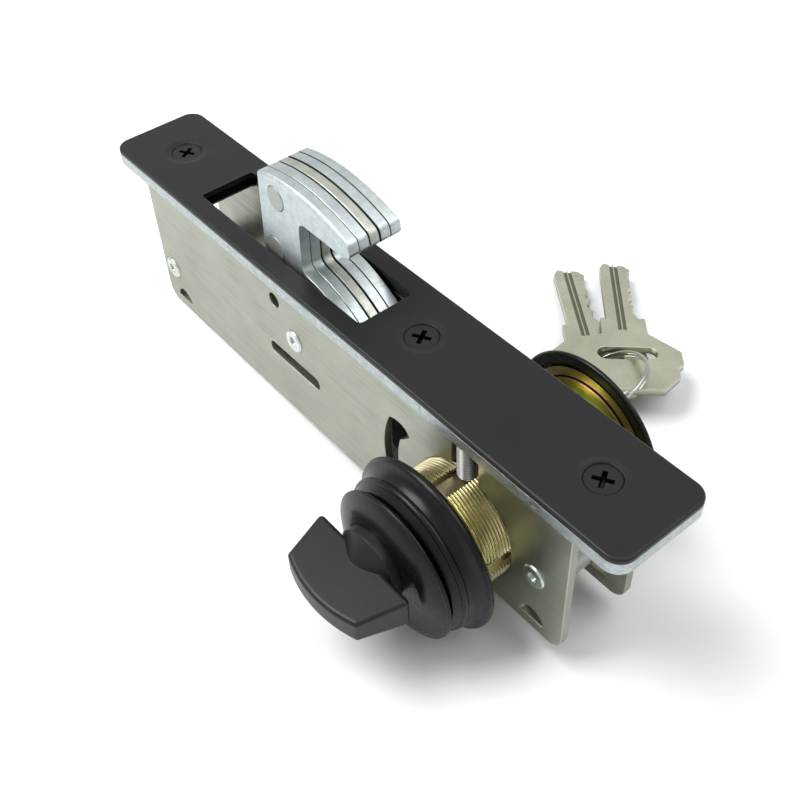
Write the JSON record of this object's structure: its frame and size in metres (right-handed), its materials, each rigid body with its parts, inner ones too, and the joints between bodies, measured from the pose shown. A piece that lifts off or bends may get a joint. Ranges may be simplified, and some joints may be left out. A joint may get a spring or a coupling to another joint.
{
  "type": "mortise hook lock",
  "caption": "Mortise hook lock for a narrow metal door, with a swinging laminated hook, a riveted case, a thumbturn cylinder, a keyed cylinder and loose keys on a ring.",
  "frame": {"origin": "centre of the faceplate's front face", "axes": "+X along the faceplate towards the cylinders, +Y across it towards the keyed side, +Z out of the door's edge"},
  "size_m": [0.18, 0.1404, 0.0724],
  "materials": {
    "cover_black": "fine matt black over steel",
    "bar_zinc": "bright zinc",
    "case_steel": "brushed, pale warm grey",
    "stud_steel": "turned, staked ends",
    "screw_black": "black oxide",
    "hook_zinc": "zinc, bluish",
    "hook_spacer": "zinc, yellowish",
    "drive_steel": "zinc",
    "cylinder_gold": "yellow passivated thread",
    "trim_black": "satin black",
    "spring_gold": "thin spring band",
    "brass": "plain",
    "screw_steel": "fine thread",
    "key_nickel": "nickel silver",
    "ring_steel": "polished wire"
  },
  "bodies": {
    "case": {"front_bar": "bar_zinc", "faceplate_cover": "cover_black", "mounting_screws": "screw_black", "cover_screw": "screw_black", "near_side_plate": "case_steel", "far_side_plate": "case_steel", "left_post": "stud_steel", "right_post": "stud_steel", "pivot_post": "stud_steel", "near_cylinder_body": "cylinder_gold", "near_cylinder_head": "trim_black", "near_collar": "trim_black", "near_collar_spring": "spring_gold", "far_cylinder_body": "cylinder_gold", "far_cylinder_head": "trim_black", "far_collar": "trim_black", "far_collar_spring": "spring_gold", "driver_pins": "brass", "pin_springs": "screw_steel", "set_screws": "screw_steel"},
    "hook": {"hook_outer_plies": "hook_zinc", "hook_inner_plies": "hook_zinc", "hook_middle_ply": "hook_spacer", "hook_rivets": "stud_steel"},
    "drive": {"drive_plate": "drive_steel", "link_pin": "screw_steel"},
    "turn": {"thumbturn": "trim_black", "turn_spindle": "brass", "near_cam": "brass", "near_cam_screws": "screw_steel"},
    "plug": {"key_plug": "brass", "key_pins": "brass", "far_cam": "brass", "far_cam_screws": "screw_steel"},
    "keys": {"key_1": "key_nickel", "key_2": "key_nickel", "key_ring": "ring_steel"}
  },
  "joints": [
    {"name": "thumbturn_turn", "type": "hinge", "parent": "case", "child": "turn", "pos_m": [0.0443, -0.03, -0.0268], "axis": [0, -1, 0], "range_deg": [0, 90]},
    {"name": "drive_slide", "type": "slide", "parent": "case", "child": "drive", "axis": [1, 0, 0], "range_m": [0, 0.0168]},
    {"name": "hook_swing", "type": "hinge", "parent": "case", "child": "hook", "pos_m": [-0.0141, 0, -0.0193], "axis": [0, -1, 0], "range_deg": [0, 92.5]},
    {"name": "key_plug_turn", "type": "hinge", "parent": "case", "child": "plug", "pos_m": [0.0443, 0.03, -0.0268], "axis": [0, 1, 0], "range_deg": [-100, 100]},
    {"name": "key_lift", "type": "slide", "parent": "case", "child": "keys", "axis": [0, 0, 1], "range_m": [0, 0.05]}
  ],
  "couplings": [
    {"joint": "drive_slide", "follows": "thumbturn_turn", "m_per_rad": 0.010694},
    {"joint": "hook_swing", "follows": "thumbturn_turn", "ratio": 1.0278}
  ]
}
